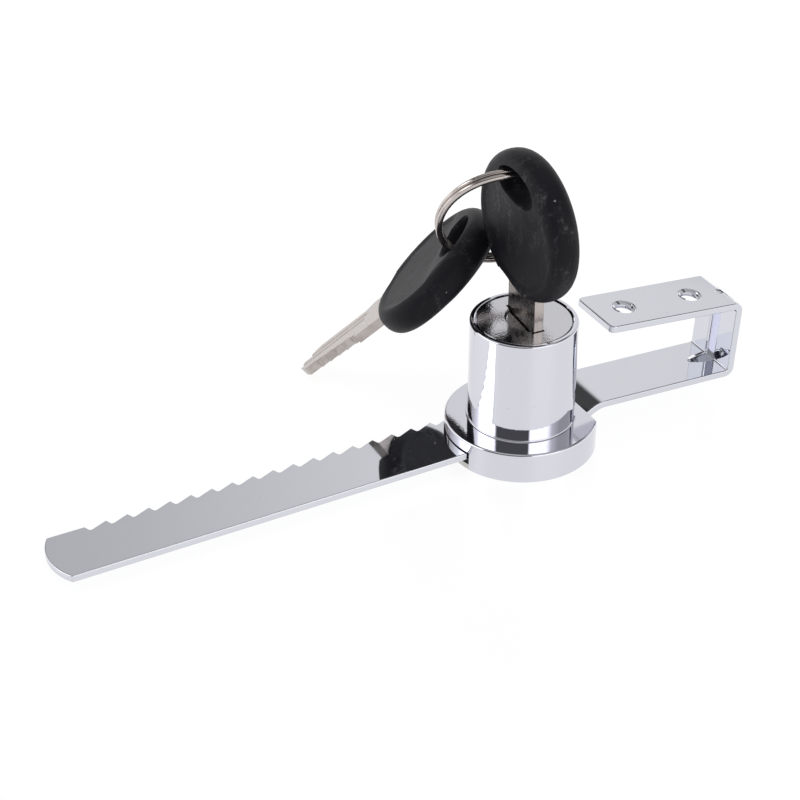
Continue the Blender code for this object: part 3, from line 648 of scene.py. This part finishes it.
def make_bar():
    leg = leg_frame()
    ridge = -BAR_THICK / 2 - RIB_RISE
    rib = prism(rib_outline(ridge, RIB_RISE + RIB_ROOT, RIB_BLUNT), RIB_MARGIN, leg_length() - RIB_MARGIN)
    outer = rib_outline(ridge + BAR_THICK + 0.05, GROOVE_DEEP)
    groove = prism(outer, GROOVE_START, leg_length() + GROOVE_PAST)
    holes = [moved(sink_shape(), flange_frame(x)) for x in CLAMP_HOLES]
    dimple = ball(Vector(DIMPLE_AT) - Vector((DENT_R - DIMPLE_DEEP, 0, 0)), DENT_R)
    notch = ball(Vector(NOTCH_AT) + Vector((0, 0, DENT_R - NOTCH_DEEP)), DENT_R)
    cutters = (moved(groove, leg), dimple, notch, *holes)
    bar = piece("toothed_bar", bar_blank(), unions=(moved(rib, leg), corner_dart()), cutters=cutters,
                bevel=BAR_ROUNDING, segments=5, crease=21)
    finish_piece(bar, "bar", "chrome_bar", "ratchet_bar")
    for number, hole_x in enumerate(CLAMP_HOLES, 1):
        thread = piece(f"clamp_thread_{number}", thread_shape(), flange_frame(hole_x), sharp=40)
        finish_piece(thread, "bar", "chrome_bar")


# ---- lock ------------------------------------------------------------------
def housing_profile():
    """Half section of the barrel and flange, with its fillet, rolled edges, bore and counterbore."""
    lip, edge, foot = 0.38, 0.42, 0.30
    profile = [(0, BORE_FLOOR), (BORE_R, BORE_FLOOR), (BORE_R, COUNTERBORE_FLOOR),
               (COUNTERBORE_R, COUNTERBORE_FLOOR), (COUNTERBORE_R, BARREL_TOP - 0.12),
               (COUNTERBORE_R + 0.12, BARREL_TOP)]
    profile += arc((BARREL_R - lip, BARREL_TOP - lip), lip, math.pi / 2, 0, 6)
    profile += arc((BARREL_R + foot, FLANGE_TOP + foot), foot, math.pi, 3 * math.pi / 2, 5)
    profile += arc((FLANGE_R - edge, FLANGE_TOP - edge), edge, math.pi / 2, 0, 6)
    profile += arc((FLANGE_R - 0.25, 0.25), 0.25, 0, -math.pi / 2, 3)
    profile += [(PLATE_RECESS_R, 0), (PLATE_RECESS_R, PLATE_RECESS), (0, PLATE_RECESS)]
    return profile


def housing_cutters():
    """The ways through the casting for the bar, pawl, pin, rivets and wafers."""
    past = 15
    near = PAWL_NEAR - PAWL_TRAVEL - 0.35
    cutters = [
        box((-past, SLOT_NEAR, -1), (past, SLOT_FAR, SLOT_ROOF)),
        box((FLANGE_FLAT, -past, -1), (past, past, FLANGE_TOP + 1)),
        box((PAWL_X - 2.7, near, SLOT_ROOF - 0.2), (PAWL_X + 2.7, PAWL_BACK + 0.3, BORE_FLOOR + 0.1)),
        box((PAWL_X - 2.3, SLOT_FAR - 0.5, PLATE_RECESS - 0.1),
            (PAWL_X + 2.3, PAWL_BACK + 0.29, SLOT_ROOF + 0.5)),
        round_bar((PAWL_X, PAWL_SPRING_Z), PAWL_SPRING_BORE_R, 10.5, 12.65, "y", 28),
        round_bar(PIN_AT, PIN_R, -4.6, 9.0, "x", 24),
    ]
    cutters += [round_bar(spot, RIVET_HOLE_R, 0.5, 3.5, steps=28) for spot in RIVET_SPOTS]
    for turn in (PLUG_YAW, PLUG_YAW - PLUG_THROW):
        cutters.append(moved(box(*WAFER_POCKET), Matrix.Rotation(turn, 4, "Z")))
    return cutters


def make_lock():
    housing = piece("lock_barrel", turned(housing_profile(), 168), cutters=housing_cutters(), sharp=30)
    finish_piece(housing, "lock_body", "chrome_body", "lock_housing")
    edge = 0.10
    rim = arc((CAP_R - edge, CAP_TOP - edge), edge, math.pi / 2, 0, 3)
    profile = [(0, CAP_TOP), *rim, (CAP_R, CAP_LOW), (0, CAP_LOW)]
    x, y = KEYWAY_AT
    wide, thick = CAP_SLOT_WIDE / 2, KEYWAY_THICK / 2
    slot = box((x - wide, y - thick, CAP_LOW - 1), (x + wide, y + thick, CAP_TOP + 1))
    levels = ((CAP_TOP - RELIEF_DEEP, RELIEF_R - 0.30), (CAP_TOP - 0.25, RELIEF_R - 0.12),
              (CAP_TOP + 0.3, RELIEF_R + 0.3))
    reach = math.asin((RELIEF_AT[1] - y) / RELIEF_R)
    start, end = math.pi + reach, math.tau - reach
    relief = skin([[(a, b, z) for a, b in arc(RELIEF_AT, r, start, end, 40)] for z, r in levels])
    turn = Matrix.Rotation(PLUG_YAW, 4, "Z")
    cap = piece("lock_face", turned(profile, 128), turn, cutters=(slot, relief), sharp=25)
    finish_piece(cap, "plug_body", "chrome_cap", "plug_cap")


# ---- keys ------------------------------------------------------------------
def head_outline(inset, steps):
    """An egg of two powered half ovals, drawn in from the full outline by the inset."""
    outline = []
    for step in range(steps):
        angle = math.tau * step / steps
        c, s = math.cos(angle), math.sin(angle)
        power = HEAD_POWER_TOP if s > 0 else HEAD_POWER_LOW
        height = HEAD_TOP - HEAD_MID if s > 0 else HEAD_MID - HEAD_LOW
        x = (HEAD_HALF - inset) * math.copysign(abs(c) ** (2 / power), c)
        z = HEAD_MID + (height - inset) * math.copysign(abs(s) ** (2 / power), s)
        outline.append((x, z))
    return outline


def smooth(share):
    share = min(max(share, 0.0), 1.0)
    return share * share * (3 - 2 * share)


def head_level(inset, height):
    """Half thickness of a key head in from its edge: a rolled rim, and a panel dished below the hole."""
    if inset < HEAD_ROUND:
        drop = (1 - inset / HEAD_ROUND) ** HEAD_EDGE_POWER
        level = HEAD_THICK / 2 * max(0.0, 1 - drop) ** (1 / HEAD_EDGE_POWER)
    else:
        level = HEAD_THICK / 2
    low, high = PANEL_FADE
    dish = 1 - smooth((height - low) / (high - low))
    return level - PANEL_DEEP * dish * smooth((inset - PANEL_INSET) / PANEL_SLOPE)


def head_shape():
    insets = [HEAD_ROUND * (1 - math.cos(math.pi / 2 * i / 9)) for i in range(9)]
    insets += [HEAD_ROUND + (PANEL_INSET + PANEL_SLOPE - HEAD_ROUND) * i / 5 for i in range(6)]
    insets += [6.4, 8.6, 10.4]
    rings = []
    for side, order in ((-1, reversed(insets)), (1, insets[1:])):
        for inset in order:
            rings.append([(x, side * head_level(inset, z), z) for x, z in head_outline(inset, HEAD_STEPS)])
    return skin(rings)


def ring_hole():
    """The oval hole for the ring, its mouth rounded at both faces."""
    half = HEAD_THICK / 2
    mouth = ((0.9, 0.75), (0.1, 0.55), (-0.3, 0.28), (-0.9, 0.05))
    levels = [(-half - out, grow) for out, grow in mouth]
    levels += [(half + out, grow) for out, grow in reversed(mouth)]
    rings = []
    for level, grow in levels:
        ring = []
        for step in range(56):
            angle = math.tau * step / 56
            ring.append((RING_HOLE_AT[0] + (RING_HOLE_WIDE / 2 + grow) * math.cos(angle), level,
                         RING_HOLE_AT[1] + (RING_HOLE_HIGH / 2 + grow) * math.sin(angle)))
        rings.append(ring)
    return skin(rings)


def make_head(name, matrix, body, node):
    half_wide, half_thick = TANG_WIDE / 2 + 0.25, BLADE_THICK / 2 + 0.25
    pocket = box((-half_wide, -half_thick, HEAD_LOW - 1), (half_wide, half_thick, TANG_TOP + 0.25))
    lip = prism(((-9.5, -2), (-7.0, 1.85), (-5.0, 3.0), (-5.0, -2)), -4, 4, "y")
    bib = prism(((-5.2, -2), (-5.2, 3.0), (4.6, 1.35), (5.5, 1.35), (5.5, -2)), -4, -half_thick, "y")
    head = piece(name, head_shape(), matrix, cutters=(ring_hole(), pocket, lip, bib), sharp=45)
    finish_piece(head, body, "black_rubber", node)


def blade_outline():
    """Tang, shoulder and blade; the cuts on the +X edge get deeper towards the tip."""
    outline = [(-TANG_WIDE / 2, TANG_TOP), (-TANG_WIDE / 2, SHOULDER + 1.7),
               (-BLADE_HALF - 0.2, SHOULDER + 0.05), (-BLADE_HALF, SHOULDER - 0.2),
               (-BLADE_HALF, BLADE_TIP + 4.3), (-3.45, BLADE_TIP + 3.1),
               (-1.6, BLADE_TIP + 0.5), (-0.9, BLADE_TIP), (0.5, BLADE_TIP)]
    deepest = CUT_FIRST + CUT_STEP * (len(WAFER_LEVELS) - 1)
    outline.append((BLADE_HALF - deepest, BLADE_TIP + 1.9))
    for number, level in reversed(list(enumerate(WAFER_LEVELS))):
        edge = BLADE_HALF - CUT_FIRST - CUT_STEP * number
        outline.append((edge, level - 0.75))
        outline.append((edge - 0.06, level))
        outline.append((edge, level + 0.75))
        if number:
            outline.append((edge + CUT_STEP + 0.25, (level + WAFER_LEVELS[number - 1]) / 2))
    outline += [(BLADE_HALF, WAFER_LEVELS[0] + 1.5), (BLADE_HALF, SHOULDER),
                (TANG_WIDE / 2 - 0.3, SHOULDER), (TANG_WIDE / 2, SHOULDER + 0.3),
                (TANG_WIDE / 2, TANG_TOP)]
    return outline


def make_blade(name, matrix, body, node):
    half = BLADE_THICK / 2
    grooves = []
    for middle, side in BLADE_GROOVES:
        section = ((middle - 0.55, side * (half + 0.1)), (middle - 0.28, side * (half - 0.50)),
                   (middle + 0.28, side * (half - 0.50)), (middle + 0.55, side * (half + 0.1)))
        grooves.append(prism(section, BLADE_TIP - 1, SHOULDER + 0.9))
    blade = piece(name, prism(blade_outline(), -half, half, "y"), matrix, cutters=grooves, bevel=0.09)
    finish_piece(blade, body, "nickel_blade", node)


def ring_frame():
    """Matrix whose Z is the ring's axis and whose X points to the pivot in the first key."""
    axis = Vector(RING_NORMAL).normalized()
    spoke = Vector(RING_PIVOT) - Vector(RING_CENTRE)
    across = (spoke - axis * spoke.dot(axis)).normalized()
    turn = Matrix((across, axis.cross(across), axis)).transposed().to_4x4()
    return Matrix.Translation(RING_CENTRE) @ turn


def make_ring():
    """A split ring: nearly two turns of flattened wire, side by side, with a jog between the layers."""
    sweep = 2 * math.tau - RING_JOG * 1.15
    jog_start = math.tau - RING_JOG
    count = 260
    rings = []
    for step in range(count + 1):
        travelled = sweep * step / count
        level = RING_LAYER * (2 * smooth((travelled - jog_start) / RING_JOG) - 1)
        taper = min(1.0, 0.55 + min(step, count - step) * 0.12)
        ring = []
        for side in range(16):
            turn = math.tau * side / 16
            out = math.copysign(abs(math.cos(turn)) ** 0.75, math.cos(turn)) * RING_WIRE[0] * taper
            up = math.copysign(abs(math.sin(turn)) ** 0.75, math.sin(turn)) * RING_WIRE[1] * taper
            reach = RING_R + out
            angle = RING_START + travelled
            ring.append((reach * math.cos(angle), reach * math.sin(angle), level + up))
        rings.append(ring)
    ring = piece("split_ring", skin(rings), ring_frame(), sharp=60)
    finish_piece(ring, "ring", "ring_nickel", "key_ring")


def make_keys():
    first = Matrix.Translation(KEY_1_AT) @ Matrix.Rotation(PLUG_YAW, 4, "Z")
    second = Matrix.Translation(KEY_2_AT) @ Euler(KEY_2_TURN).to_matrix().to_4x4()
    for number, matrix in enumerate((first, second), 1):
        make_head(f"key_head_{number}", matrix, f"key_{number}", f"key_{number}_head")
        make_blade(f"key_blade_{number}", matrix, f"key_{number}", f"key_{number}_blade")
    make_ring()


# ---- studio ----------------------------------------------------------------
def make_camera():
    data = bpy.data.cameras.new("camera")
    data.lens = CAMERA_LENS
    data.sensor_width = 36.0
    data.clip_start = 0.01
    data.clip_end = 50.0
    camera = bpy.data.objects.new("camera", data)
    turn = Matrix((CAMERA_RIGHT, CAMERA_UP, [-value for value in CAMERA_FORWARD])).transposed().to_4x4()
    camera.matrix_world = Matrix.Translation(Vector(CAMERA_AT) * MM) @ turn
    bpy.context.scene.collection.objects.link(camera)
    bpy.context.scene.camera = camera


# Brightness of the studio walls by compass direction, in degrees from +X, at mid height.
WALLS = ((-180, 3.2), (-177, 1.5), (-174, 0.05), (-104, 0.05), (-100, 2.3), (-62, 2.3), (-50, 0.9),
         (-30, 0.5), (0, 0.5), (30, 0.72), (54, 0.90), (61, 0.82), (70, 0.60), (84, 0.45), (90, 0.15),
         (92, 0.03), (103, 0.03), (105, 0.50), (107, 0.62), (115, 0.8), (132, 1.5), (146, 3.2),
         (180, 3.2))
WALLS_END = ((0.64, 0.0), (0.70, 1.0))
CEILING = ((0.70, 0.12), (0.76, 0.12), (0.86, 1.0))
CEILING_GLOW = 0.62
LOW_CAP = ((0.38, 0.27), (0.47, 1.0))
LOW_WALL = ((0.36, 1.0), (0.44, 0.0))
LOW_WALL_GLOW = 0.45
SWEEP = ((0.36, 0.0), (0.44, 1.0), (0.56, 1.0), (0.63, 0.0))
SWEEP_TURN = ((0.0, 0.3), (0.17, 0.3), (0.20, 1.0), (0.97, 1.0), (1.0, 0.3))
SWEEP_GLOW = 1.5


def make_world():
    """A studio all round, placed by world direction: grey walls with two soft boxes and a dark side,
    dimmer low down, a grey ceiling with a dark rim and a pale sweep at the horizon. The camera's own
    rays see it as plain white.
    """
    world = bpy.data.worlds.new("studio")
    bpy.context.scene.world = world
    world.use_nodes = True
    nodes = Nodes(world.node_tree)
    direction = nodes.add("ShaderNodeTexCoord", output="Generated")
    split = nodes.tree.nodes.new("ShaderNodeSeparateXYZ")
    nodes.put(split.inputs[0], direction)
    x, y, z = split.outputs
    turn = nodes.math("MULTIPLY_ADD", nodes.math("ARCTAN2", y, x), 1 / math.tau, 0.5)
    peak = max(shade for _, shade in WALLS)
    walls = nodes.ramp(turn, [((angle + 180) / 360, shade / peak) for angle, shade in WALLS])
    walls = nodes.math("MULTIPLY", walls, peak)
    overhead = nodes.ramp(z, WALLS_END)
    ceiling = nodes.ramp(z, CEILING)
    low_wall = nodes.ramp(z, LOW_WALL)
    glow = nodes.math("ADD", nodes.math("MULTIPLY", walls, nodes.math("SUBTRACT", 1.0, overhead)),
                      nodes.math("MULTIPLY", ceiling, CEILING_GLOW))
    low_cap = nodes.math("MULTIPLY", nodes.ramp(z, LOW_CAP), peak)
    glow = nodes.math("MINIMUM", glow, low_cap)
    height = nodes.math("MULTIPLY_ADD", z, 0.5, 0.5)
    sweep = nodes.ramp(height, SWEEP)
    open_side = nodes.ramp(turn, SWEEP_TURN)
    sweep = nodes.math("MULTIPLY", nodes.math("MULTIPLY", sweep, open_side), SWEEP_GLOW)
    glow = nodes.math("MAXIMUM", glow, sweep)
    glow = nodes.math("MAXIMUM", glow, nodes.math("MULTIPLY", low_wall, LOW_WALL_GLOW))
    rays = nodes.tree.nodes.new("ShaderNodeLightPath")
    glow = nodes.blend(rays.outputs["Is Camera Ray"], glow, (1.0, 1.0, 1.0, 1.0))
    nodes.put(nodes.tree.nodes["Background"].inputs["Color"], glow)


def make_floor():
    shape = bmesh.new()
    bmesh.ops.create_grid(shape, x_segments=4, y_segments=4, size=1.5)
    floor = raw_object("studio_floor", shape)
    floor.location = (0, 0, -0.0001)
    material, nodes, shader = new_material("pale_floor")
    nodes.put(shader.inputs["Base Color"], (0.10, 0.10, 0.10, 1.0))
    nodes.put(shader.inputs["Roughness"], 0.35)
    nodes.put(shader.inputs["Specular IOR Level"], 0.3)
    nodes.put(shader.inputs["Emission Color"], (1.0, 1.0, 1.0, 1.0))
    nodes.put(shader.inputs["Emission Strength"], 0.90)
    floor.data.materials.append(material)


def make_light(name, place, size, watts):
    data = bpy.data.lights.new(name, "AREA")
    data.shape = "DISK"
    data.size = size
    data.energy = watts
    light = bpy.data.objects.new(name, data)
    light.location = place
    light.rotation_euler = (-Vector(place)).to_track_quat("-Z", "Y").to_euler()
    light.visible_glossy = False
    light.visible_camera = False
    bpy.context.scene.collection.objects.link(light)


def make_studio():
    make_camera()
    make_world()
    make_floor()
    make_light("top_light", (-0.15, 0.1, 0.9), 0.9, 2.0)
    bpy.context.scene.view_settings.view_transform = "Standard"


make_studio()
materials = make_materials()
for node, item in frame["nodes"].items():
    slot = next(entry["material_slot"] for entry in frame["record"]["subparts"] if entry["node"] == node)
    item.data.materials.clear()
    item.data.materials.append(materials[slot])
make_bar()
make_lock()
make_keys()
